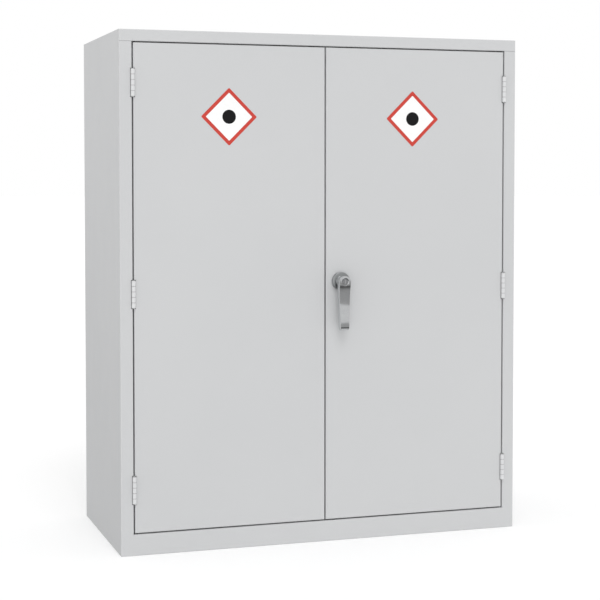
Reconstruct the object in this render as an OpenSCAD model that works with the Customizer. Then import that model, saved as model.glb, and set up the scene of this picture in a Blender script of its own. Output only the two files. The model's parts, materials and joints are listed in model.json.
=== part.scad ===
// Flammable storage cabinet: folded sheet-steel carcass, two flush doors on knuckle hinges,
// a lever that drives an upper and a lower lock rod, a sump and two spill-tray shelves.
// The origin is on the floor, in the middle of the whole cabinet with its lever. +Y is the back.

/* [Carcass] */
// Overall width across the side panels
cab_w = 1000; // [700:10:1400]
// Depth from the face of the doors to the back
cab_d = 457; // [300:1:650]
// Overall height
cab_h = 1220; // [900:10:1900]
// Thickness of the sheet steel
sheet = 1.2; // [0.8:0.1:1.6]
// Outside radius of the folds
fold_r = 2.5; // [2:0.1:4]
// Width of the stile beside each door
stile_w = 30; // [24:1:60]
// Height of the strip above the doors
fascia_h = 27; // [20:1:60]
// Height of the plinth below the doors
plinth_h = 50; // [40:1:100]
// Seam between the top panel and each stile
seam = 0.5; // [0.2:0.1:1]
// Width of the flange that the doors close against
stop_w = 12; // [8:1:20]
// Width of the flanges round the back and along the floor
flange_w = 30; // [20:1:50]

/* [Doors] */
// Gap round and between the doors
door_gap = 3; // [2.6:0.1:4]
// Depth of a door
door_d = 20; // [18:1:30]
// Width of the lip round the back of a door
door_lip = 15; // [10:1:30]
// Thickness of a rubber buffer
buffer_t = 1.7; // [1:0.1:4]
// Radius of a rubber buffer
buffer_r = 3.5; // [2:0.5:5]
// Width of the channel that stiffens a door
stiffener_w = 60; // [30:1:120]
// Depth of that channel
stiffener_d = 12; // [8:1:14]

/* [Hinges] */
// Length of a hinge barrel
barrel_l = 63; // [40:1:100]
// Radius of a hinge barrel
barrel_r = 4.75; // [4:0.25:6]
// Radius of a hinge pin
pin_r = 2.5; // [1.5:0.25:3]
// How far the pin stands in front of the doors
pin_out = 2; // [1:0.5:3]
// Thickness of a hinge leaf
leaf_t = 1.2; // [0.8:0.1:1.3]
// Depth of a hinge leaf behind the face
leaf_d = 17; // [10:1:18]
// Height of the lowest hinge above the floor
hinge_low = 154; // [100:1:300]
// Depth of the highest hinge below the top
hinge_high = 122; // [80:1:300]

/* [Lock] */
// Distance of the lock from the middle of the cabinet
lock_x = 38; // [34:1:80]
// Height of the lock above the middle of the cabinet
lock_rise = 20; // [-200:1:200]
// Radius of the round backplate
backplate_r = 22; // [18:1:40]
// How far the backplate stands proud
backplate_t = 9; // [4:1:12]
// Radius of the lever's neck
neck_r = 9; // [7:0.5:12]
// Side of the square spindle
spindle_w = 8; // [6:0.5:9]
// Radius of the crank pins' circle
crank_r = 16; // [16:0.5:20]
// Radius of a crank pin
crank_pin_r = 3; // [2:0.5:4]
// Radius of a lock rod
rod_r = 4; // [3:0.5:5]
// Thickness of a keep plate
keep_t = 3; // [2:0.5:5]
// Length of the latch tongue from the spindle
tongue_l = 56; // [50:1:80]
// Width of the latch tongue
tongue_w = 22; // [16:1:30]

/* [Lever] */
// How far the lever's face stands in front of the doors
lever_out = 36.5; // [34:0.5:45]
// Length of the lever below the lock's axis
lever_l = 116; // [90:1:160]
// Radius of the lever's round head
head_r = 14; // [12.5:0.5:20]
// Width of the lever at its tip
tip_w = 21; // [14:1:26]
// Depth of the lever, front to back
lever_t = 18.5; // [17:0.5:20]
// Radius of the key cylinder
cylinder_r = 10; // [8:0.5:11]
// Radius of the key plug
plug_r = 7; // [5:0.5:7]

/* [Inside] */
// Height of the sump tray's walls
sump_h = 55; // [30:1:90]
// Height of a shelf tray's walls
shelf_h = 30; // [20:1:50]
// Slot of the uprights that carries the lower shelf
lower_slot = 6; // [3:1:8]
// Slot of the uprights that carries the upper shelf
upper_slot = 14; // [11:1:16]
// Distance between the slots of an upright
slot_pitch = 50; // [25:5:75]

/* [Signs] */
// Side of the square sign
sign_w = 96; // [60:1:150]
// Depth of the sign's middle below the top
sign_drop = 198; // [120:1:400]

/* [Wall fixing] */
// Distance between the fixing holes across the back
fix_w = 600; // [300:10:680]
// Distance between the fixing holes up the back
fix_h = 900; // [400:10:1000]
// Radius of a fixing hole
fix_r = 3.5; // [2.5:0.5:6]

/* [Hidden] */
$fn = 48;

paint = [0.83, 0.835, 0.84];
zinc = [0.68, 0.70, 0.72];
chrome = [0.78, 0.79, 0.80];
rubber = [0.12, 0.12, 0.13];
plastic = [0.20, 0.20, 0.21];

left = -1;
right = 1;
// Longer than any cut has to reach
past = 5;
running = 0.05;

// The key plug is the foremost thing, and the back flange the hindmost
cylinder_out = lever_out + 1;
plug_out = cylinder_out + 0.5;
front_y = -(cab_d - plug_out) / 2;

open_w = cab_w - 2 * stile_w;
open_top = cab_h - fascia_h;
door_w = (open_w - 3 * door_gap) / 2;
door_h = open_top - plinth_h - 2 * door_gap;
door_bottom = plinth_h + door_gap;
door_top = open_top - door_gap;
buffer_gap = 0.3;
stop_y = door_d + buffer_gap + buffer_t;
jamb_d = stop_y + sheet;

hinge_x = open_w / 2 - door_gap / 2;
hinge_zs = [hinge_low, cab_h / 2, cab_h - hinge_high];
knuckles = 5;
knuckle_gap = 0.3;
knuckle_l = (barrel_l - (knuckles - 1) * knuckle_gap) / knuckles;
barrel_clear = 0.6;
pin_head_t = 1;
pin_head_r = barrel_r - 0.9;
notch_end = pin_head_t + 1;

lock_z = cab_h / 2 + lock_rise;
bush_r = neck_r + 4;
bush_end = 6;
hub_r = head_r - 2;
hub_gap = 0.5;
nut_t = 3;
nut_af = 2 * bush_r + 9;
neck_end = 7;
neck_socket = 8;
cam_y = neck_end + 0.5;
cam_t = 3;
cam_r = crank_r + crank_pin_r + 2;
foot_t = 3;
foot_y = cam_y + cam_t + 0.5;
crank_end = foot_y + foot_t + 1;
rod_y = foot_y + foot_t / 2 - 3.5;
// The crank pins swing from 45 degrees below to 45 degrees above the level of the spindle
pin_near = crank_r * cos(45);
rod_travel = 2 * crank_r * sin(45);
rod_off = (crank_r + pin_near) / 2;
slot_play = 0.7;
foot_in = pin_near - crank_pin_r - 2.1;
foot_out = crank_r + crank_pin_r + 3;
foot_drop = pin_near + crank_pin_r + slot_play + 5;
rod_start = cam_r + 5;
foot_rise = rod_start + 18;
// A rod that is drawn back ends just inside the door's edge
rod_inset = sheet + 0.8;
rod_hole_clear = 1;
point_l = 3;
keep_w = 36;
keep_d = stop_y - 2 * fold_r;
keep_hole_w = 2 * (rod_r + rod_hole_clear);
bracket_w = 2 * (cam_r + 8);
bracket_h = 44;
bracket_y = crank_end + 0.5;
bracket_t = 1.5;
tongue_y = door_d + 0.5;
tongue_t = 3;
screw_head_r = 6;
screw_r = 2.5;
screw_l = 10;
guide_h = 20;
guide_w = 18;
guide_back = rod_y + rod_r + 2.5;

slot_h = 5;
slot_w = 15;
sump_gap = 1.8;
upright_d = 11;
upright_w = 25;
upright_foot = 10;
upright_low = sheet + sump_h + 6;
upright_high = open_top - stop_w;
first_slot = upright_low + 40;
slots = floor((upright_high - first_slot - 20) / slot_pitch);
upright_inset = 46.8;
front_upright_y = jamb_d + upright_inset;
rear_upright_y = cab_d - upright_inset - 13.2;
upright_face = cab_w / 2 - sheet - upright_d;
clip_t = 1.5;
clip_w = 13;
clip_reach = 14;
clip_drop = 20;
hook_drop = 4;
shelf_front = jamb_d + 6.8;
shelf_back = cab_d - 7;
sign_t = 0.3;
stiffener_foot = 15;
buffer_inset = [60, 20];
sign_shift = 7.5;
sign_inset = (door_gap + door_w) / 2 - 2.75;

// ---------- shared shapes ----------

// Puts children behind the plane of the doors' faces
module behind_face() {
    translate([0, front_y, 0]) children();
}

// Draws children for the right side, or mirrors them to the left
module on_side(side) {
    mirror([side == left ? 1 : 0, 0, 0]) children();
}

// Extrudes an outline drawn in Y and Z along X, half to each side
module along_x(length) {
    rotate([90, 0, 90]) linear_extrude(length, center = true) children();
}

// Round bar along Y, from one distance behind the face to another
module bar_y(r, from, to) {
    translate([0, from, 0]) rotate([-90, 0, 0]) cylinder(r = r, h = to - from);
}

// Cross-section of a sheet folded at right angles along the points of its centreline
module folded(path, t = sheet, r = fold_r) {
    mid_r = r - t / 2;
    last = len(path) - 1;
    for (i = [0 : last - 1]) {
        run = path[i + 1] - path[i];
        start = i > 0 ? mid_r : 0;
        end = i < last - 1 ? mid_r : 0;
        translate(path[i]) rotate(atan2(run.y, run.x))
            translate([start, -t / 2]) square([norm(run) - start - end, t]);
    }
    for (i = [1 : last - 1]) {
        before = (path[i] - path[i - 1]) / norm(path[i] - path[i - 1]);
        after = (path[i + 1] - path[i]) / norm(path[i + 1] - path[i]);
        outward = before - after;
        translate(path[i] - outward * mid_r) intersection() {
            difference() {
                circle(r);
                circle(r - t);
            }
            translate([min(outward.x, 0) * r, min(outward.y, 0) * r]) square(r);
        }
    }
}

// Rectangle with two rounded corners on its y = 0 side, centred on x
module rounded_front(w, d, r) {
    translate([-w / 2, r]) square([w, d - r]);
    translate([-w / 2 + r, 0]) square([w - 2 * r, r]);
    for (x = [-w / 2 + r, w / 2 - r]) translate([x, r]) circle(r);
}

// Block with its four front edges rounded, centred on x and z
module front_block(w, d, h, r) {
    intersection() {
        translate([0, 0, -h / 2]) linear_extrude(h) rounded_front(w, d, r);
        rotate([0, 90, 0]) translate([0, 0, -w / 2]) linear_extrude(w) rounded_front(h, d, r);
    }
}

// Open tray with its floor down, centred on x
module tray(w, d, h, t) {
    difference() {
        translate([-w / 2, 0, 0]) cube([w, d, h]);
        translate([-w / 2 + t, t, t]) cube([w - 2 * t, d - 2 * t, h]);
    }
}

// Cuts for the barrels, in the stile and in the door alike
module barrel_notches() {
    reach = barrel_r + barrel_clear;
    for (z = hinge_zs) {
        translate([hinge_x - reach, -pin_out - reach, z - barrel_l / 2 - notch_end])
            cube([2 * reach, 2 * reach, barrel_l + 2 * notch_end]);
    }
}

// ---------- carcass ----------

// Side wall with the stile, the door stop and the rear and floor flanges folded round it
module side_panel(side) {
    wall = cab_w / 2 - sheet / 2;
    jamb = open_w / 2 + sheet / 2;
    color(paint) behind_face() on_side(side) difference() {
        union() {
            linear_extrude(cab_h - sheet) folded([
                [open_w / 2 - stop_w, stop_y + sheet / 2],
                [jamb, stop_y + sheet / 2],
                [jamb, sheet / 2],
                [wall, sheet / 2],
                [wall, cab_d - sheet / 2],
                [wall - flange_w / 2, cab_d - sheet / 2]
            ]);
            translate([cab_w / 2 - flange_w, flange_w + sheet, 0])
                cube([flange_w - sheet / 2, cab_d - flange_w - 3 * sheet, sheet]);
        }
        // Above the stile the top panel's fold takes the front edge
        translate([open_w / 2 - stop_w - past, -past, open_top - seam])
            cube([stile_w + stop_w + 2 * past, past + fold_r, fascia_h]);
        translate([open_w / 2 - stop_w - past, 0, open_top - seam])
            cube([stile_w + stop_w + past - sheet, jamb_d + past, fascia_h]);
        // Below the doors the plinth butts against the stile
        translate([open_w / 2 - stop_w - past, -past, -past])
            cube([stop_w + fold_r + past, jamb_d + 2 * past, plinth_h + past]);
        barrel_notches();
    }
}

// Back wall between the side flanges, with a floor flange and the wall-fixing holes
module back_panel() {
    w = cab_w - 2 * fold_r;
    color(paint) behind_face() difference() {
        union() {
            translate([-w / 2, cab_d - 2 * sheet, 0]) cube([w, sheet, cab_h - sheet]);
            translate([-cab_w / 2 + flange_w + seam, cab_d - flange_w, 0])
                cube([cab_w - 2 * flange_w - 2 * seam, flange_w - 2 * sheet + sheet / 2, sheet]);
        }
        for (x = [-fix_w / 2, fix_w / 2], z = [-fix_h / 2, fix_h / 2])
            translate([x, 0, cab_h / 2 + z]) bar_y(fix_r, cab_d - past, cab_d + past);
    }
}

// Top sheet folded down at the front into the strip above the doors, then back and up
module top_panel() {
    color(paint) behind_face() {
        difference() {
            union() {
                difference() {
                    top_block(0);
                    top_block(sheet);
                    translate([-cab_w / 2 - past, fold_r, 0])
                        cube([cab_w + 2 * past, cab_d + past, cab_h - sheet]);
                    translate([-open_w / 2, -past, 0])
                        cube([open_w, 2 * past, open_top + fold_r]);
                }
                along_x(open_w) folded([
                    [sheet / 2, open_top + 2 * fold_r],
                    [sheet / 2, open_top + sheet / 2],
                    [stop_y - sheet / 2, open_top + sheet / 2],
                    [stop_y - sheet / 2, open_top + stop_w]
                ]);
            }
            keep_hole(lock_x + rod_off, open_top);
        }
        translate([-cab_w / 2 + flange_w, cab_d - sheet, cab_h - flange_w / 2])
            cube([cab_w - 2 * flange_w, sheet, flange_w / 2 - sheet / 2]);
    }
}

// Solid block of the top panel, drawn in by a thickness on its front, top and sides
module top_block(inset) {
    intersection() {
        translate([0, inset, open_top - inset]) linear_extrude(fascia_h)
            rounded_front(cab_w - 2 * inset, cab_d + past, fold_r - inset);
        along_x(cab_w) difference() {
            translate([inset, open_top - inset]) square([cab_d - inset, fascia_h]);
            translate([inset, cab_h - inset - (fold_r - inset)]) difference() {
                square(fold_r - inset);
                translate([fold_r - inset, 0]) circle(fold_r - inset);
            }
        }
    }
}

// Strip under the doors, folded back and down as a sill, back along the floor, and in at its ends
module front_plinth() {
    w = open_w + 2 * fold_r;
    color(paint) behind_face() difference() {
        union() {
            along_x(w) folded([
                [stop_y - sheet / 2, plinth_h - stop_w],
                [stop_y - sheet / 2, plinth_h - sheet / 2],
                [sheet / 2, plinth_h - sheet / 2],
                [sheet / 2, sheet / 2],
                [flange_w, sheet / 2]
            ]);
            for (x = [-w / 2, w / 2 - sheet]) translate([x, sheet / 2, sheet / 2])
                cube([sheet, stop_y - sheet, plinth_h - sheet]);
        }
        keep_hole(lock_x - rod_off, plinth_h);
    }
}

// Flat bar behind the sill's or the top strip's back fold, which the doors close against
module door_stop(low, high) {
    w = open_w - 2 * stop_w - seam;
    color(paint) behind_face() translate([-w / 2, stop_y, low]) cube([w, sheet, high - low]);
}

// Plate that stiffens the fold where the end of a lock rod enters it
module keep_plate(x, z) {
    color(zinc) behind_face() difference() {
        translate([x - keep_w / 2, fold_r, z]) cube([keep_w, keep_d, keep_t]);
        keep_hole(x, z);
    }
}

// Square hole that the end of a lock rod passes through
module keep_hole(x, z) {
    translate([x, rod_y, z]) cube([keep_hole_w, keep_hole_w, 4 * past], center = true);
}

module door_buffers() {
    spread = [buffer_inset[0], open_w / 2 - stop_w - buffer_inset[1]];
    color(rubber) behind_face()
        for (side = [left, right], x = spread,
             z = [plinth_h + stop_w - sheet - buffer_r, open_top - stop_w + buffer_r])
            translate([side * x, 0, z]) bar_y(buffer_r, stop_y - buffer_t, stop_y);
}

// Catches spills: its floor stands on the flanges along the cabinet's floor
module sump_tray() {
    w = cab_w - 2 * (sheet + upright_d + sump_gap);
    color(paint) behind_face() translate([0, jamb_d + sump_gap, sheet])
        tray(w, cab_d - 3 * sheet - jamb_d - 2 * sump_gap, sump_h, sheet);
}

// Slotted top-hat section on the side wall
module upright(side, y) {
    wall = cab_w / 2 - sheet;
    half = upright_w / 2;
    color(paint) behind_face() on_side(side) difference() {
        translate([0, 0, upright_low]) linear_extrude(upright_high - upright_low) folded([
            [wall - sheet / 2, y - half - upright_foot],
            [wall - sheet / 2, y - half],
            [upright_face + sheet / 2, y - half],
            [upright_face + sheet / 2, y + half],
            [wall - sheet / 2, y + half],
            [wall - sheet / 2, y + half + upright_foot]
        ]);
        for (i = [0 : slots])
            translate([upright_face - past, y - slot_w / 2, first_slot + i * slot_pitch])
                cube([past + 2 * sheet, slot_w, slot_h]);
    }
}

// Spill tray that rests on four clips
module shelf(slot) {
    w = 2 * upright_face - 2 * sump_gap;
    z = first_slot + slot * slot_pitch;
    color(paint) behind_face() translate([0, shelf_front, z + slot_h])
        tray(w, shelf_back - shelf_front, shelf_h, sheet);
}

// Four brackets whose tongues hook through the slots of the uprights
module shelf_clips(slot) {
    z = first_slot + slot * slot_pitch;
    color(zinc) behind_face()
        for (side = [left, right], y = [front_upright_y, rear_upright_y])
            on_side(side) translate([upright_face, y - clip_w / 2, z]) {
                translate([-clip_reach, 0, slot_h - clip_t]) cube([clip_reach, clip_w, clip_t]);
                translate([-clip_t, 0, -clip_drop]) cube([clip_t, clip_w, clip_drop + slot_h]);
                translate([-clip_t, 0, 1]) cube([2 * clip_t + sheet, clip_w, hook_drop - 1]);
                translate([sheet, 0, -hook_drop]) cube([clip_t, clip_w, 2 * hook_drop]);
            }
}

// ---------- hinges ----------

// Row of knuckles, the first and then every second one from a given place
module knuckle_row(first, r, grow) {
    for (i = [first : 2 : knuckles - 1])
        translate([0, 0, -barrel_l / 2 + i * (knuckle_l + knuckle_gap) - grow])
            cylinder(r = r, h = knuckle_l + 2 * grow);
}

// One leaf of a hinge round its pin. way is 1 for the leaf on the frame and -1 for the one on the door
module hinge_leaf(side, z, way, first, bore) {
    color(paint) behind_face() on_side(side) translate([hinge_x, -pin_out, z]) difference() {
        union() {
            knuckle_row(first, barrel_r, 0);
            translate([way > 0 ? door_gap / 2 - leaf_t : -door_gap / 2, 0, -barrel_l / 2])
                cube([leaf_t, pin_out + leaf_d, barrel_l]);
        }
        knuckle_row(1 - first, barrel_r + 0.4, knuckle_gap);
        cylinder(r = bore, h = barrel_l + 2 * past, center = true);
    }
}

module frame_leaf(side, z) {
    hinge_leaf(side, z, 1, 0, pin_r);
}

module door_leaf(side, z) {
    hinge_leaf(side, z, -1, 1, pin_r + running);
}

module hinge_pin(side, z) {
    color(paint) behind_face() on_side(side) translate([hinge_x, -pin_out, z]) {
        cylinder(r = pin_r, h = barrel_l, center = true);
        for (up = [0, 1]) mirror([0, 0, up])
            translate([0, 0, barrel_l / 2]) cylinder(r1 = pin_head_r, r2 = pin_r, h = pin_head_t);
    }
}

// ---------- doors ----------

// Pan with four folded edges and a lip round its back, notched for the hinges
module door_pan() {
    middle_x = door_gap / 2 + door_w / 2;
    middle_z = (door_bottom + door_top) / 2;
    difference() {
        translate([middle_x, 0, middle_z]) difference() {
            front_block(door_w, door_d, door_h, fold_r);
            translate([0, sheet, 0]) front_block(
                door_w - 2 * sheet, door_d - 2 * sheet, door_h - 2 * sheet, fold_r - sheet);
            translate([-door_w / 2 + door_lip, door_d - 2 * sheet, -door_h / 2 + door_lip])
                cube([door_w - 2 * door_lip, 3 * sheet, door_h - 2 * door_lip]);
        }
        barrel_notches();
    }
}

module left_door() {
    color(paint) behind_face() on_side(left) door_pan();
}

module right_door() {
    color(paint) behind_face() difference() {
        door_pan();
        translate([lock_x, 0, lock_z]) bar_y(bush_r + running, -past, past);
        keep_hole(lock_x + rod_off, door_top);
        keep_hole(lock_x - rod_off, door_bottom);
    }
}

// Top-hat channel on the back of the skin, from the bottom to the top of the door
module door_stiffener(side) {
    half = stiffener_w / 2;
    middle = door_gap / 2 + door_w / 2;
    color(paint) behind_face() on_side(side)
        translate([middle, 0, door_bottom + door_lip]) linear_extrude(door_h - 2 * door_lip)
            folded([
                [-half - stiffener_foot, 1.5 * sheet],
                [-half, 1.5 * sheet],
                [-half, stiffener_d + sheet / 2],
                [half, stiffener_d + sheet / 2],
                [half, 1.5 * sheet],
                [half + stiffener_foot, 1.5 * sheet]
            ]);
}

module sign(side) {
    color("white") behind_face()
        translate([side * sign_inset - sign_shift, -sign_t / 2, cab_h - sign_drop]) rotate([0, 45, 0])
            cube([sign_w, sign_t, sign_w], center = true);
}

// ---------- lock on the right door ----------

module at_lock() {
    behind_face() translate([lock_x, 0, lock_z]) children();
}

// Round plate on the face, with a hub up to the lever and a bush for its neck through the door
module handle_backplate() {
    lip = 1.5;
    hub_end = lever_out - lever_t - hub_gap;
    color(chrome) at_lock() difference() {
        union() {
            bar_y(backplate_r, -backplate_t + lip, 0);
            translate([0, -backplate_t, 0]) rotate([-90, 0, 0])
                cylinder(r1 = backplate_r - lip, r2 = backplate_r, h = lip);
            bar_y(hub_r, -hub_end, 0);
            bar_y(bush_r, -lip, bush_end);
        }
        bar_y(neck_r + running, -hub_end - past, bush_end + past);
    }
}

module backplate_nut() {
    color(zinc) at_lock() difference() {
        translate([0, sheet, 0]) rotate([-90, 30, 0])
            cylinder(d = nut_af / cos(30), h = nut_t, $fn = 6);
        bar_y(bush_r, 0, bush_end);
    }
}

// Bridge over the cam that steadies the end of the spindle
module lock_bracket() {
    leg = bracket_w / 2;
    foot = 6;
    color(zinc) at_lock() difference() {
        translate([0, 0, -bracket_h / 2]) linear_extrude(bracket_h) folded([
            [-leg, sheet],
            [-leg, bracket_y + bracket_t / 2],
            [leg, bracket_y + bracket_t / 2],
            [leg, sheet + bracket_t / 2],
            [leg + foot, sheet + bracket_t / 2]
        ], bracket_t, bracket_t + 1);
        bar_y(spindle_w * sqrt(2) / 2 + 0.4, bracket_y - past, bracket_y + past);
    }
}

// Blocks behind the skin that the lock rods slide in
module rod_guides() {
    // Shares of the way from the lock to the door's edge
    places = [0.3, 0.85];
    color(plastic) behind_face() {
        for (f = places) rod_guide(lock_x + rod_off, lock_z + f * (door_top - lock_z));
        for (f = places) rod_guide(lock_x - rod_off, lock_z - f * (lock_z - door_bottom));
    }
}

module rod_guide(x, z) {
    difference() {
        translate([x - guide_w / 2, sheet, z - guide_h / 2])
            cube([guide_w, guide_back - sheet, guide_h]);
        translate([x, rod_y, z]) cylinder(r = rod_r + running, h = guide_h + past, center = true);
    }
}

// Neck and round head with a tapered arm, whose grip leans forward and ends in a round nose
module lever() {
    nose_r = lever_t / 2;
    back = -lever_out + lever_t;
    hollow = 3.5;
    bend = -0.44 * lever_l;
    color(chrome) at_lock() difference() {
        union() {
            bar_y(head_r, -lever_out, back);
            bar_y(neck_r, back, neck_end);
            intersection() {
                along_x(2 * head_r) {
                    polygon([
                        [-lever_out, 0], [-lever_out + hollow, bend],
                        [-lever_out, nose_r - lever_l], [back, nose_r - lever_l], [back, 0]
                    ]);
                    translate([-lever_out + nose_r, nose_r - lever_l]) circle(nose_r);
                }
                rotate([90, 0, 0]) linear_extrude(lever_out + past) polygon([
                    [-head_r, 0], [-tip_w / 2, -lever_l], [tip_w / 2, -lever_l], [head_r, 0]
                ]);
            }
        }
        bar_y(cylinder_r, -lever_out - past, back - 2);
        translate([-spindle_w / 2, neck_end - 2 * neck_socket, -spindle_w / 2])
            cube([spindle_w, 2 * neck_socket + past, spindle_w]);
    }
}

module key_cylinder() {
    color(chrome) at_lock() difference() {
        bar_y(cylinder_r, -cylinder_out, -lever_out + lever_t - 2);
        bar_y(plug_r + running, -cylinder_out - past, -lever_out + lever_t - 4);
    }
}

module key_plug() {
    slot = [1.6, 9, 8.5];
    color(chrome) at_lock() difference() {
        bar_y(plug_r, -plug_out, -lever_out + lever_t - 4.5);
        translate([-slot.x / 2, -plug_out - 1, -slot.z / 2]) cube(slot);
    }
}

module spindle() {
    from = neck_end - 2 * neck_socket;
    color(zinc) at_lock() difference() {
        translate([-spindle_w / 2, from, -spindle_w / 2])
            cube([spindle_w, tongue_y + tongue_t - from, spindle_w]);
        bar_y(screw_r, tongue_y + tongue_t - screw_l, tongue_y + tongue_t + past);
    }
}

// Disc on the spindle with a crank pin for each lock rod
module cam() {
    color(zinc) at_lock() difference() {
        union() {
            bar_y(cam_r, cam_y, cam_y + cam_t);
            for (way = [1, -1])
                translate([way * pin_near, 0, -way * pin_near]) bar_y(crank_pin_r, cam_y, crank_end);
        }
        translate([-spindle_w / 2, 0, -spindle_w / 2]) cube([spindle_w, tongue_y, spindle_w]);
    }
}

// Strap that turns in behind the lip of the left door
module latch_tongue() {
    half = tongue_w / 2;
    corner = 5;
    color(zinc) at_lock() difference() {
        translate([0, tongue_y + tongue_t, 0]) rotate([90, 0, 0]) linear_extrude(tongue_t) {
            circle(half);
            polygon([
                [-half, 0], [half, 0], [half, tongue_l - corner], [half - corner, tongue_l],
                [-half + corner, tongue_l], [-half, tongue_l - corner]
            ]);
        }
        translate([-spindle_w / 2, 0, -spindle_w / 2])
            cube([spindle_w, tongue_y + tongue_t + past, spindle_w]);
    }
}

module spindle_screw() {
    end = tongue_y + tongue_t;
    color(zinc) at_lock() difference() {
        union() {
            translate([0, end, 0]) rotate([-90, 0, 0])
                cylinder(r1 = screw_head_r, r2 = screw_head_r - 1.5, h = tongue_t);
            bar_y(screw_r, end - screw_l, end);
        }
        translate([0, end + tongue_t / 2, 0]) rotate([-90, 0, 0]) cylinder(r = 2.3, h = past, $fn = 6);
    }
}

// Round rod with a flat slotted foot on the cam's pin. way is 1 for the upper rod, -1 for the lower
module lock_rod(way, length) {
    color(zinc) at_lock() rotate([0, way > 0 ? 0 : 180, 0]) difference() {
        union() {
            translate([rod_off, rod_y, rod_start]) cylinder(r = rod_r, h = length - rod_start - point_l);
            translate([rod_off, rod_y, length - point_l])
                cylinder(r1 = rod_r, r2 = rod_r - 1.5, h = point_l);
            translate([foot_in, foot_y, -foot_drop])
                cube([foot_out - foot_in, foot_t, foot_drop + foot_rise]);
        }
        translate([pin_near - crank_pin_r - slot_play, foot_y - past,
                   -pin_near - crank_pin_r - slot_play])
            cube([crank_r - pin_near + 2 * (crank_pin_r + slot_play), foot_t + 2 * past,
                  2 * (crank_pin_r + slot_play)]);
    }
}

side_panel(left);  // left_side_panel
side_panel(right);  // right_side_panel
back_panel();
top_panel();
front_plinth();
door_stop(open_top - stop_w, open_top + stop_w);  // upper_door_stop
door_stop(plinth_h - stop_w, plinth_h + stop_w - sheet);  // lower_door_stop
keep_plate(lock_x + rod_off, open_top + sheet);  // upper_keep_plate
keep_plate(lock_x - rod_off, plinth_h - sheet - keep_t);  // lower_keep_plate
door_buffers();
sump_tray();
upright(left, front_upright_y);  // left_front_upright
upright(left, rear_upright_y);  // left_rear_upright
upright(right, front_upright_y);  // right_front_upright
upright(right, rear_upright_y);  // right_rear_upright
shelf(upper_slot);  // upper_shelf
shelf(lower_slot);  // lower_shelf
shelf_clips(upper_slot);  // upper_shelf_clips
shelf_clips(lower_slot);  // lower_shelf_clips
frame_leaf(left, hinge_zs[0]);  // left_lower_frame_leaf
frame_leaf(left, hinge_zs[1]);  // left_middle_frame_leaf
frame_leaf(left, hinge_zs[2]);  // left_upper_frame_leaf
frame_leaf(right, hinge_zs[0]);  // right_lower_frame_leaf
frame_leaf(right, hinge_zs[1]);  // right_middle_frame_leaf
frame_leaf(right, hinge_zs[2]);  // right_upper_frame_leaf
hinge_pin(left, hinge_zs[0]);  // left_lower_hinge_pin
hinge_pin(left, hinge_zs[1]);  // left_middle_hinge_pin
hinge_pin(left, hinge_zs[2]);  // left_upper_hinge_pin
hinge_pin(right, hinge_zs[0]);  // right_lower_hinge_pin
hinge_pin(right, hinge_zs[1]);  // right_middle_hinge_pin
hinge_pin(right, hinge_zs[2]);  // right_upper_hinge_pin
left_door();
door_stiffener(left);  // left_door_stiffener
sign(left);  // left_sign
door_leaf(left, hinge_zs[0]);  // left_lower_door_leaf
door_leaf(left, hinge_zs[1]);  // left_middle_door_leaf
door_leaf(left, hinge_zs[2]);  // left_upper_door_leaf
right_door();
door_stiffener(right);  // right_door_stiffener
sign(right);  // right_sign
door_leaf(right, hinge_zs[0]);  // right_lower_door_leaf
door_leaf(right, hinge_zs[1]);  // right_middle_door_leaf
door_leaf(right, hinge_zs[2]);  // right_upper_door_leaf
handle_backplate();
backplate_nut();
lock_bracket();
rod_guides();
lever();
key_cylinder();
key_plug();
spindle();
cam();
latch_tongue();
spindle_screw();
lock_rod(1, door_top - rod_inset - lock_z);  // upper_lock_rod
lock_rod(-1, lock_z - door_bottom - rod_inset);  // lower_lock_rod
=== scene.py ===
import json
from math import cos, exp, pi, radians, sin

import bmesh
import bpy
from mathutils import Matrix, Vector


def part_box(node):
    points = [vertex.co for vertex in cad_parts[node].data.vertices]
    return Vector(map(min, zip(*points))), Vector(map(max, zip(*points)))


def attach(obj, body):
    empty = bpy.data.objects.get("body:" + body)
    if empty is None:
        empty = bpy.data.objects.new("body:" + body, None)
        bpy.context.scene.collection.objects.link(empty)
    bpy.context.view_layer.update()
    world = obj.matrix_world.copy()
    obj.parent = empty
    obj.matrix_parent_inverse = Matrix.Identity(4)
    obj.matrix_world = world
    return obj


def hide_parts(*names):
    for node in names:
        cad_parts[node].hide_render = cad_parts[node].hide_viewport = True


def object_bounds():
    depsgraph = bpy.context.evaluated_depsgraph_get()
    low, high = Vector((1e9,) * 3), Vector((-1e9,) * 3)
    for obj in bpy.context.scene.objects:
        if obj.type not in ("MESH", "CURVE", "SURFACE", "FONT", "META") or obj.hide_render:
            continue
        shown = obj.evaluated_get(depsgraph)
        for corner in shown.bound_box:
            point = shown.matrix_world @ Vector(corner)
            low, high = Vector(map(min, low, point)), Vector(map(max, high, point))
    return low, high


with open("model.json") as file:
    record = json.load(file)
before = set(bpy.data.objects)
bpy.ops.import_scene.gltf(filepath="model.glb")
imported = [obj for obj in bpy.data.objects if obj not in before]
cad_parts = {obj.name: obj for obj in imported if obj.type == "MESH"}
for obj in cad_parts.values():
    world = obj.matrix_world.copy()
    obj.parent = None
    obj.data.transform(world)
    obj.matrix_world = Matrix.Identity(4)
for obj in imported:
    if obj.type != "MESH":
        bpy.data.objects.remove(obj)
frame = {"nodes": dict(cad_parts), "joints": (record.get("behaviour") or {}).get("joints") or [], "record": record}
cad_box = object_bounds()
nodes = frame["nodes"]
joints = {joint["name"]: joint for joint in frame["joints"]}

# ---------------------------------------------------------------------------
# The room: a pale floor that glows a little and a white surround, under a wide
# soft lamp high in front and a fill lamp beside the camera. The surround is shaded
# for what chrome reflects. The camera is in front, to the left.
# ---------------------------------------------------------------------------
scene = bpy.context.scene
scene.view_settings.view_transform = "Standard"
face_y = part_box("left_door")[0].y
height = cad_box[1].z

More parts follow.
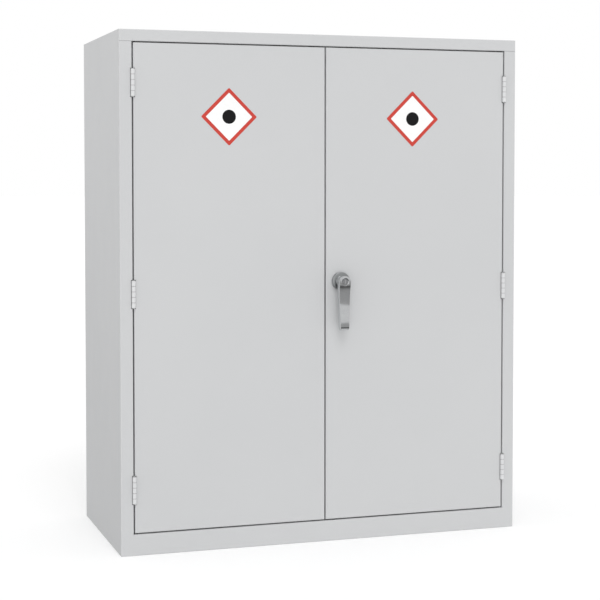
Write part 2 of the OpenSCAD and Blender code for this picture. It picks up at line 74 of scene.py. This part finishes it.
# The camera's place, counted in heights of the cabinet.
aside, back_off, raised = 0.978, 2.838, 0.726
camera_data = bpy.data.cameras.new("camera")
camera_data.lens = 91.6
camera_data.shift_y = -0.1
camera = bpy.data.objects.new("camera", camera_data)
camera.location = (-aside * height, face_y - back_off * height, raised * height)
yaw, pitch = radians(18.06), radians(-2.44)
forward = Vector((sin(yaw) * cos(pitch), cos(yaw) * cos(pitch), sin(pitch)))
camera.rotation_mode = "QUATERNION"
camera.rotation_quaternion = forward.to_track_quat("-Z", "Y")
scene.collection.objects.link(camera)
scene.camera = camera


class Flow:
    """One output in a set of nodes. Signs between flows and numbers add Math nodes."""

    def __init__(self, tree, socket=None):
        self.tree = tree
        self.socket = socket

    def add(self, kind, settings, inputs, out=0):
        """Makes any node: first its settings, then its sockets, each a value or a flow."""
        node = self.tree.nodes.new(kind)
        stops = settings.pop("stops", ())
        for key, value in settings.items():
            setattr(node, key, value)
        for number, (at, shade) in enumerate(stops):
            elements = node.color_ramp.elements
            element = elements[number] if number < 2 else elements.new(at)
            element.position = at
            element.color = (shade, shade, shade, 1)
        for key, value in inputs.items():
            if isinstance(value, Flow):
                self.tree.links.new(value.socket, node.inputs[key])
            else:
                node.inputs[key].default_value = value
        return Flow(self.tree, node.outputs[out])

    def reckon(self, operation, *values):
        return self.add("ShaderNodeMath", {"operation": operation}, dict(enumerate(values)))

    def __add__(self, other):
        return self.reckon("ADD", self, other)

    def __sub__(self, other):
        return self.reckon("SUBTRACT", self, other)

    def __rsub__(self, other):
        return self.reckon("SUBTRACT", other, self)

    def __mul__(self, other):
        return self.reckon("MULTIPLY", self, other)

    __radd__ = __add__
    __rmul__ = __mul__


def blend_colours(flow, amount, first, second):
    """A mix of two colours, each of them three numbers or a flow."""
    ends = [end if isinstance(end, Flow) else (*end, 1) for end in (first, second)]
    return flow.add(
        "ShaderNodeMix", {"data_type": "RGBA"}, {0: amount, 6: ends[0], 7: ends[1]}, 2
    )


def smooth_step(flow, value, start, end, first, last):
    """Goes softly from first to last as the value goes from start to end."""
    return flow.add(
        "ShaderNodeMapRange", {"interpolation_type": "SMOOTHSTEP"},
        {0: value, 1: start, 2: end, 3: first, 4: last},
    )


floor_r = 60
floor_sides = 96
floor_mesh = bpy.data.meshes.new("floor")
shape = bmesh.new()
bmesh.ops.create_circle(shape, cap_ends=True, segments=floor_sides, radius=floor_r)
shape.to_mesh(floor_mesh)
shape.free()
floor = bpy.data.objects.new("floor", floor_mesh)
floor.visible_glossy = False
scene.collection.objects.link(floor)

floor_paint = bpy.data.materials.new("floor_paint")
floor_paint.use_nodes = True
floor_shader = floor_paint.node_tree.nodes["Principled BSDF"]
floor_shader.inputs["Base Color"].default_value = (0.97, 0.97, 0.97, 1)
floor_shader.inputs["Roughness"].default_value = 0.9
floor_shader.inputs["Emission Color"].default_value = (1, 1, 1, 1)
floor_shader.inputs["Emission Strength"].default_value = 0.12
floor_mesh.materials.append(floor_paint)

# How bright chrome sees the surround, from straight down at 0 to straight up at 1.
# The ends come first, because a new ramp already has those two stops.
surround_tones = (
    (0.0, 0.9), (1.0, 1.0), (0.06, 0.70), (0.16, 0.08), (0.33, 0.12),
    (0.39, 0.39), (0.46, 0.43), (0.50, 0.75), (0.56, 0.79), (0.75, 0.60),
)
# Towards both sides the surround turns into one even, brighter tone.
side_tone = (1.35, 1.35, 1.35)
side_start, side_end = 0.45, 0.75
surround_light = 0.78

world = bpy.data.worlds.new("surround")
world.use_nodes = True
scene.world = world
air = Flow(world.node_tree)
direction = air.add("ShaderNodeTexCoord", {}, {}, "Generated")
sideways = air.add("ShaderNodeSeparateXYZ", {}, {"Vector": direction}, "X")
upward = air.add("ShaderNodeSeparateXYZ", {}, {"Vector": direction}, "Z")
mirrored = air.add("ShaderNodeValToRGB", {"stops": surround_tones}, {0: upward * 0.5 + 0.5})
sides = smooth_step(air, sideways * sideways, side_start, side_end, 0.0, 1.0)
mirrored = blend_colours(air, sides, mirrored, side_tone)
ray = "ShaderNodeLightPath"
even = air.add("ShaderNodeBackground", {}, {"Color": (1, 1, 1, 1), "Strength": surround_light})
glossy_ray = air.add(ray, {}, {}, "Is Glossy Ray")
chrome_view = air.add("ShaderNodeBackground", {}, {"Color": mirrored})
even = air.add("ShaderNodeMixShader", {}, {0: glossy_ray, 1: even, 2: chrome_view})
white = air.add("ShaderNodeBackground", {}, {"Color": (1, 1, 1, 1)})
camera_ray = air.add(ray, {}, {}, "Is Camera Ray")
even = air.add("ShaderNodeMixShader", {}, {0: camera_ray, 1: even, 2: white})
world.node_tree.links.new(even.socket, world.node_tree.nodes["World Output"].inputs["Surface"])

down_and_in = Vector((0.09, 0.64, -0.77))
for name, energy, spread, aim in (
    ("lamp", 0.72, 30, down_and_in),
    ("fill_lamp", 0.30, 40, forward),
):
    lamp = bpy.data.lights.new(name, "SUN")
    lamp.energy = energy
    lamp.angle = radians(spread)
    light = bpy.data.objects.new(name, lamp)
    light.rotation_euler = aim.to_track_quat("-Z", "Y").to_euler()
    scene.collection.objects.link(light)


# ---------------------------------------------------------------------------
# Painted sheet steel: the side, top and back panels, plinth, trays, uprights,
# doors and hinge leaves. Folded from 1.2 mm sheet, spot welded, and powder
# coated light grey, which leaves a fine orange peel and a low satin gloss.
# ---------------------------------------------------------------------------
knuckles = 5
knuckle_pitch = 0.01266
# Painted shade beside a knuckle seam reaches this far from it, is darkest in this share of that, and covers this
# much.
shade_reach = 0.0013
shade_core = 0.3
shade_most = 0.55


def finish(name, metallic):
    """A new material: the material, its shader, and a flow that adds nodes to it."""
    material = bpy.data.materials.new(name)
    material.use_nodes = True
    shader = material.node_tree.nodes["Principled BSDF"]
    shader.inputs["Metallic"].default_value = metallic
    return material, shader, Flow(material.node_tree)


def grain(flow, scale, detail, stretch=(1, 1, 1)):
    """Noise from 0 to 1 on the piece's own coordinates, with scale in patches per metre."""
    place = flow.add("ShaderNodeTexCoord", {}, {}, "Object")
    place = flow.add("ShaderNodeMapping", {}, {"Vector": place, "Scale": stretch})
    return flow.add("ShaderNodeTexNoise", {}, {"Vector": place, "Scale": scale, "Detail": detail})


def wire(flow, shader, **flows):
    """Leads flows into the shader, each named for its socket."""
    for key, value in flows.items():
        flow.tree.links.new(value.socket, shader.inputs[key.replace("_", " ").title()])


def bump(flow, height_map, strength, distance):
    return flow.add(
        "ShaderNodeBump", {}, {"Height": height_map, "Strength": strength, "Distance": distance}
    )


def painted_seam_shade(flow, first_seam):
    """Painted shade beside the knuckle seams of a hinge whose lowest end is at first_seam, and none elsewhere."""
    place = flow.add("ShaderNodeTexCoord", {}, {}, "Object")
    up = flow.add("ShaderNodeSeparateXYZ", {}, {"Vector": place}, "Z")
    turns = flow.reckon("FRACT", (up - first_seam) * (1 / knuckle_pitch) + 0.5)
    off = flow.reckon("ABSOLUTE", turns - 0.5)
    outer = shade_reach / knuckle_pitch
    return smooth_step(flow, off, outer, shade_core * outer, 0.0, shade_most)


def powder_coat(name, darker, paler, smoothest, first_seam=None):
    """Two close greys in broad patches, orange peel at a millimetre, and faint satin clouds.
    On a hinge leaf, first_seam is the height of its lowest end, and painted shade darkens the coat beside the
    knuckle seams."""
    material, shader, flow = finish(name, metallic=0.0)
    clouds = grain(flow, scale=2.2, detail=3)
    peel = grain(flow, scale=650, detail=2)
    specks = grain(flow, scale=2400, detail=1)
    colour = blend_colours(flow, clouds * 0.75 + peel * 0.15 + specks * 0.1, darker, paler)
    rough = smoothest + grain(flow, scale=14, detail=4) * 0.16
    relief = peel + specks * 0.25
    if first_seam is not None:
        # Painted shade beside the knuckle seams: the coat turns darker and rougher there.
        knuckle_shade = painted_seam_shade(flow, first_seam)
        colour = blend_colours(flow, knuckle_shade, colour, [0.45 * part for part in darker])
        rough = rough + knuckle_shade * 0.3
    orange_peel = bump(flow, relief, strength=0.16, distance=0.0004)
    wire(flow, shader, base_color=colour, roughness=rough, normal=orange_peel)
    return material


def give(names, material):
    """Gives the named pieces one material."""
    for name in names:
        mesh = nodes[name].data
        mesh.materials.clear()
        mesh.materials.append(material)


paint = powder_coat(
    "powder_coat", darker=(0.545, 0.552, 0.560), paler=(0.600, 0.605, 0.610), smoothest=0.36
)
slots = {part["node"]: part["material_slot"] for part in frame["record"]["subparts"]}
painted = [name for name, slot in slots.items() if slot == "grey_paint"]
give(painted, paint)
# Each hinge gets a paler, glossier copy of the coat: the paler grey is a painted highlight on the barrels.
for level in ("lower", "middle", "upper"):
    low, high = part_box(f"left_{level}_hinge_pin")
    hinge_highlit_paint = powder_coat(
        level + "_hinge_highlit_paint", darker=(0.640, 0.646, 0.652), paler=(0.700, 0.705, 0.710),
        smoothest=0.22, first_seam=(low.z + high.z) / 2 - knuckles / 2 * knuckle_pitch,
    )
    leaf_ends = (f"_{level}_frame_leaf", f"_{level}_door_leaf")
    give([name for name in painted if name.endswith(leaf_ends)], hinge_highlit_paint)


# ---------------------------------------------------------------------------
# Zinc-plated steel: lock rods, cam, bracket, spindle, tongue, keep plates and
# shelf clips. Cut from bright strip and bar, plated, and a little clouded.
# ---------------------------------------------------------------------------
def zinc_plate():
    """Bright metal with blue and straw clouds and fine drawn lines along the rods."""
    material, shader, flow = finish("zinc_plate", metallic=1.0)
    clouds = grain(flow, scale=18, detail=4)
    lines = grain(flow, scale=900, detail=2, stretch=(1, 1, 0.03))
    colour = blend_colours(flow, clouds, (0.50, 0.53, 0.57), (0.68, 0.66, 0.60))
    rough = 0.22 + clouds * 0.16 + lines * 0.08
    drawn = bump(flow, lines, strength=0.12, distance=0.0002)
    wire(flow, shader, base_color=colour, roughness=rough, normal=drawn)
    return material


give([name for name, slot in slots.items() if slot == "zinc"], zinc_plate())


# ---------------------------------------------------------------------------
# Buffers and rod guides: soft black rubber discs stuck to the door stops, and
# moulded black plastic blocks behind the right door's skin.
# ---------------------------------------------------------------------------
def black_moulding(name, colour, smoothest, skin_scale):
    """Near black, with a fine moulded grain and slightly paler scuffs."""
    material, shader, flow = finish(name, metallic=0.0)
    skin = grain(flow, scale=skin_scale, detail=3)
    scuffs = grain(flow, scale=60, detail=5)
    shade = blend_colours(flow, scuffs, colour, [2.2 * part for part in colour])
    rough = smoothest + scuffs * 0.15
    moulded = bump(flow, skin, strength=0.3, distance=0.0002)
    wire(flow, shader, base_color=shade, roughness=rough, normal=moulded)
    return material


rubber = black_moulding("rubber", (0.018, 0.018, 0.019), smoothest=0.62, skin_scale=1500)
guide_plastic = black_moulding(
    "guide_plastic", (0.030, 0.030, 0.032), smoothest=0.42, skin_scale=2600
)
give(["door_buffers"], rubber)
give(["rod_guides"], guide_plastic)


# ---------------------------------------------------------------------------
# Signs: one printed vinyl square on each door, stood on its corner. A red
# edge, a white field and a plain black disc, in matt screen inks.
# ---------------------------------------------------------------------------
border_w = 0.0082
ink_step = 0.00004
mark_r = 0.0165
mark_sides = 72
vinyl_sheen = 0.12
corner_steps = 5
smooth_below = radians(35)


def printed_vinyl(name, colour):
    """Flat ink on vinyl: barely uneven in tone, with a fine matt tooth and little sheen."""
    material, shader, flow = finish(name, metallic=0.0)
    shader.inputs["Specular IOR Level"].default_value = vinyl_sheen
    ink = grain(flow, scale=40, detail=4)
    shade = blend_colours(flow, ink, [0.93 * part for part in colour], colour)
    rough = 0.42 + ink * 0.14
    tooth = bump(flow, grain(flow, scale=900, detail=2), strength=0.05, distance=0.0002)
    wire(flow, shader, base_color=shade, roughness=rough, normal=tooth)
    return material


def new_piece(name, shape, body, material, smooth=True):
    """Turns a finished bmesh into a piece that rides on a body."""
    mesh = bpy.data.meshes.new(name)
    shape.to_mesh(mesh)
    shape.free()
    mesh.materials.append(material)
    if smooth:
        mesh.shade_smooth()
        mesh.set_sharp_from_angle(angle=smooth_below)
    piece = bpy.data.objects.new(name, mesh)
    scene.collection.objects.link(piece)
    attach(piece, body)
    return piece


def printed_layer(reach, sides_n, corner_r, thickness):
    """A thin plate that faces the front, its first corner straight up, its corners rounded."""
    shape = bmesh.new()
    bmesh.ops.create_circle(
        shape, cap_ends=True, segments=sides_n, radius=reach, matrix=Matrix.Rotation(pi / 2, 4, "X")
    )
    bmesh.ops.bevel(
        shape, geom=shape.verts[:], affect="VERTICES", offset=corner_r, offset_type="OFFSET",
        segments=corner_steps, profile=0.5, material=-1,
    )
    extruded = bmesh.ops.extrude_face_region(shape, geom=shape.faces[:])
    moved = [part for part in extruded["geom"] if isinstance(part, bmesh.types.BMVert)]
    bmesh.ops.translate(shape, verts=moved, vec=(0, thickness, 0))
    bmesh.ops.recalc_face_normals(shape, faces=shape.faces[:])
    return shape


red_ink = printed_vinyl("red_ink", (0.590, 0.066, 0.050))
white_vinyl = printed_vinyl("white_vinyl", (0.93, 0.93, 0.925))
black_ink = printed_vinyl("black_ink", (0.010, 0.010, 0.011))
for side in ("left", "right"):
    low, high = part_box(side + "_sign")
    middle = Vector(((low.x + high.x) / 2, low.y, (low.z + high.z) / 2))
    sign_reach = (high.x - low.x) / 2
    field_reach = sign_reach - border_w * 2**0.5
    depth = high.y - low.y
    for part, reach, sides_n, corner_r, ink, layer in (
        ("border", sign_reach, 4, 0.003, red_ink, 0),
        ("field", field_reach, 4, 0.001, white_vinyl, 1),
        ("mark", mark_r, mark_sides, 0.0002, black_ink, 2),
    ):
        proud = layer * ink_step
        shape = printed_layer(reach, sides_n, corner_r, depth / 2 + proud)
        bmesh.ops.translate(shape, verts=shape.verts[:], vec=middle + Vector((0, -proud, 0)))
        piece = new_piece(f"{side}_sign_{part}", shape, side + "_door", ink, False)
        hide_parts(side + "_sign")


# ---------------------------------------------------------------------------
# Handle backplate: a round die-cast plate, chromed, with a soft front edge and
# a hub that rises to the lever's head. A nut holds its bush behind the door.
# ---------------------------------------------------------------------------
def chrome_plate(name, first, second, smoothest, spread):
    """Chrome with the faint waviness of a casting and a light cleaning haze."""
    material, shader, flow = finish(name, metallic=1.0)
    haze = grain(flow, scale=70, detail=4)
    waves = grain(flow, scale=90, detail=1)
    colour = blend_colours(flow, haze, first, second)
    rough = smoothest + haze * spread
    wavy = bump(flow, waves, strength=0.10, distance=0.0006)
    wire(flow, shader, base_color=colour, roughness=rough, normal=wavy)
    return material


def turned(outline, steps=64):
    """A round piece about an axis along Y, from its outline as (radius, y) points."""
    shape = bmesh.new()
    points = [shape.verts.new((radius, y, 0)) for radius, y in outline]
    edges = [shape.edges.new(pair) for pair in zip(points, points[1:])]
    bmesh.ops.spin(
        shape, geom=points + edges, cent=(0, 0, 0), axis=(0, 1, 0), angle=2 * pi,
        steps=steps, use_merge=True,
    )
    bmesh.ops.remove_doubles(shape, verts=shape.verts[:], dist=1e-6)
    bmesh.ops.recalc_face_normals(shape, faces=shape.faces[:])
    return shape


def rounded(outline, corner, r, steps=5):
    """The outline with one of its corners, given by its index, turned into an arc."""
    before, at, after = (Vector(outline[corner + step]) for step in (-1, 0, 1))
    start = at + (before - at).normalized() * r
    end = at + (after - at).normalized() * r
    arc = []
    for step in range(steps + 1):
        t = step / steps
        arc.append(tuple(start * (1 - t) ** 2 + at * 2 * t * (1 - t) + end * t**2))
    return outline[:corner] + arc + outline[corner + 1 :]


chrome = chrome_plate(
    "chrome", (0.60, 0.61, 0.62), (0.70, 0.71, 0.72), smoothest=0.06, spread=0.10
)
satin_chrome = chrome_plate(
    "satin_chrome", (0.33, 0.34, 0.345), (0.40, 0.41, 0.415), smoothest=0.26, spread=0.16
)
lock = Vector(joints["handle_turn"]["pos_m"])
low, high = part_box("handle_backplate")
plate_r = (high.x - low.x) / 2
plate_t = 0.009
plate_round = 0.0016
hub_r = 0.012
hub_round = 0.0020
hub_front = low.y - face_y
bush_r = 0.013
bush_back = high.y - face_y
neck_r = 0.009
neck_gap = 0.0001
bore_r = neck_r + neck_gap
outline = [
    (bore_r, bush_back), (bush_r, bush_back), (bush_r, 0), (plate_r, 0), (plate_r, -plate_t),
    (hub_r, -plate_t), (hub_r, hub_front), (bore_r, hub_front), (bore_r, bush_back),
]
plate_corner, root_corner = 4, 5
outline = rounded(outline, root_corner, hub_round)
outline = rounded(outline, plate_corner, plate_round)
shape = turned(outline)
bmesh.ops.translate(shape, verts=shape.verts[:], vec=lock)
piece = new_piece("backplate_casting", shape, "right_door", satin_chrome)
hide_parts("handle_backplate")


# ---------------------------------------------------------------------------
# Lever: die-cast zinc, chromed. Its flat upper part leans in a little, the grip
# below the bend leans out, and the end curls back. Every edge is polished soft.
# ---------------------------------------------------------------------------
low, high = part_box("lever")
lever_l = lock.z - low.z
lever_t = 0.0185
lever_front = face_y - low.y
lever_back = lever_front - lever_t
head_r = 0.014
tip_w = 0.0105
bend_share = 0.44
bend_z = -bend_share * lever_l
bend_soft = 0.004
bend_slant = 0.25
hollow = 0.0035
head_step = 0.0008
brow_z = -0.009
brow_l = 0.005
nose_r = (lever_front - lever_back) / 2
nose_z = nose_r - lever_l
curl_l = 0.012
curl_z = nose_z + curl_l
curl_depth = 0.0007
edge_round = 0.0026
edge_steps = 6
hard_above = radians(60)
head_steps = 32
grip_steps = 48
nose_steps = 10
neck_sides = 48


def lever_depths(x, z):
    """How far the lever's front and back lie along Y from the door's face, at a point on it."""
    upper, lower = hollow / -bend_z, hollow / (bend_z - nose_z)
    up = min(z, 0) - bend_z + bend_slant * x
    bend = (upper - lower) / 2 * up + (upper + lower) / 2 * (up**2 + bend_soft**2) ** 0.5
    brow = head_step * (exp(min(z - brow_z, 0) / brow_l) - 1)
    curl = curl_depth * (max(curl_z - z, 0) / (curl_z - nose_z)) ** 2
    front = lever_front - hollow + bend + brow - min(curl, curl_depth)
    back = lever_back
    if z < nose_z:
        drop = max(1 - ((nose_z - z) / nose_r) ** 2, 0) ** 0.5
        middle = lever_front - nose_r
        front, back = middle + (front - middle) * drop, middle - nose_r * drop
    return -front, -back


shape = bmesh.new()
top = shape.verts.new((head_r, 0, 0))
bmesh.ops.spin(
    shape, geom=[top], cent=(0, 0, 0), axis=(0, -1, 0), angle=pi, steps=head_steps,
    use_merge=False,
)
shape.verts.ensure_lookup_table()
rim = sorted(shape.verts, key=lambda v: v.co.x)
far_left, far_right = rim[0], rim[-1]
tip_left = shape.verts.new((-tip_w, 0, -lever_l))
tip_right = shape.verts.new((tip_w, 0, -lever_l))
shape.edges.new((far_left, tip_left))
shape.edges.new((tip_left, tip_right))
shape.edges.new((tip_right, far_right))
bmesh.ops.contextual_create(shape, geom=shape.edges[:])
cuts = [-(lever_l - nose_r) * step / grip_steps for step in range(grip_steps + 1)]
cuts += [nose_z - nose_r * sin(pi / 2 * step / nose_steps) for step in range(1, nose_steps)]
for z in cuts:
    bmesh.ops.bisect_plane(
        shape, geom=shape.verts[:] + shape.edges[:] + shape.faces[:], dist=1e-6,
        plane_co=(0, 0, z), plane_no=(0, 0, 1),
    )
extruded = bmesh.ops.extrude_face_region(shape, geom=shape.faces[:])
fronts = [part for part in extruded["geom"] if isinstance(part, bmesh.types.BMVert)]
backs = [vert for vert in shape.verts if vert not in set(fronts)]
for vert in fronts:
    vert.co.y = lever_depths(vert.co.x, vert.co.z)[0]
for vert in backs:
    vert.co.y = lever_depths(vert.co.x, vert.co.z)[1]
bmesh.ops.remove_doubles(shape, verts=shape.verts[:], dist=1e-5)
bmesh.ops.recalc_face_normals(shape, faces=shape.faces[:])
hard = [edge for edge in shape.edges if edge.calc_face_angle(0) > hard_above]
bmesh.ops.bevel(
    shape, geom=hard, affect="EDGES", offset=edge_round, offset_type="OFFSET",
    segments=edge_steps, profile=0.5, material=-1, clamp_overlap=True,
)
neck = bmesh.ops.create_cone(
    shape, cap_ends=True, segments=neck_sides, radius1=neck_r, radius2=neck_r,
    depth=high.y - face_y + lever_back, matrix=Matrix.Rotation(pi / 2, 4, "X"),
)
neck_middle = (high.y - face_y - lever_back) / 2
bmesh.ops.translate(shape, verts=neck["verts"], vec=(0, neck_middle, 0))
bmesh.ops.translate(shape, verts=shape.verts[:], vec=lock)
piece = new_piece("lever_casting", shape, "handle", chrome)
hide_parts("lever")


# ---------------------------------------------------------------------------
# Key cylinder and plug: a turned, chromed cup pressed into the lever's head,
# with a round plug that has a keyway milled across its face.
# ---------------------------------------------------------------------------
low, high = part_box("key_cylinder")
plug_low, plug_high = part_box("key_plug")
cup_r = (high.x - low.x) / 2
cup_front = low.y - face_y
cup_d = 0.004
cup_back = cup_front + cup_d
plug_gap = 0.0001
bore_r = (plug_high.x - plug_low.x) / 2 + plug_gap
rim_w = 0.0007
rim_round = 0.0005
dish = 0.0007
outline = [
    (cup_r, cup_back), (cup_r, cup_front), (cup_r - rim_w, cup_front),
    (bore_r, cup_front + dish), (bore_r, cup_back), (cup_r, cup_back),
]
rim_corner = 1
shape = turned(rounded(outline, rim_corner, rim_round))
bmesh.ops.translate(shape, verts=shape.verts[:], vec=lock)
# The cup and plug take a darker copy of the chrome: painted shade for the dark ring round the key.
shaded_chrome = chrome_plate(
    "shaded_chrome", (0.38, 0.39, 0.40), (0.50, 0.50, 0.51), smoothest=0.07, spread=0.12
)
piece = new_piece("key_cylinder_rim", shape, "handle", shaded_chrome)
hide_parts("key_cylinder")
give(["key_plug"], shaded_chrome)
